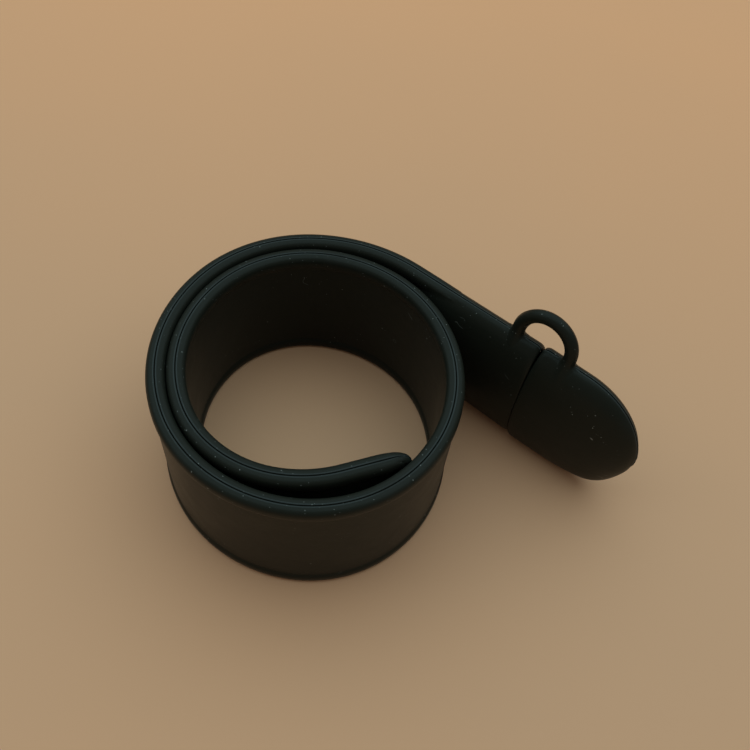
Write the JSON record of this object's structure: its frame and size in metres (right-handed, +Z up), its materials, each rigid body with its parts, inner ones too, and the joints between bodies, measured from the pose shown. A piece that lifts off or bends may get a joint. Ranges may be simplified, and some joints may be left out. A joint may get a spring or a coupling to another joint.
{
  "type": "usb flash drive bracelet",
  "caption": "Coiled rubber wristband with rounded rims whose straight end holds a flash drive under a rounded cap, tied by a half-ring tether loop.",
  "frame": {"origin": "middle of the wrist hollow at the height of the band's lower edge, which it stands on", "axes": "+Z up across the band's width, +X along the straight drive end towards the cap's nose, +Y from the middle of the hollow towards the straight end"},
  "size_m": [0.0657, 0.0495, 0.0282],
  "materials": {
    "band_rubber": "satin black silicone",
    "plug_plastic": "black moulded board"
  },
  "bodies": {
    "root": {"wristband": "band_rubber", "cap": "band_rubber", "cap_tether": "band_rubber", "usb_plug": "plug_plastic"}
  },
  "joints": []
}
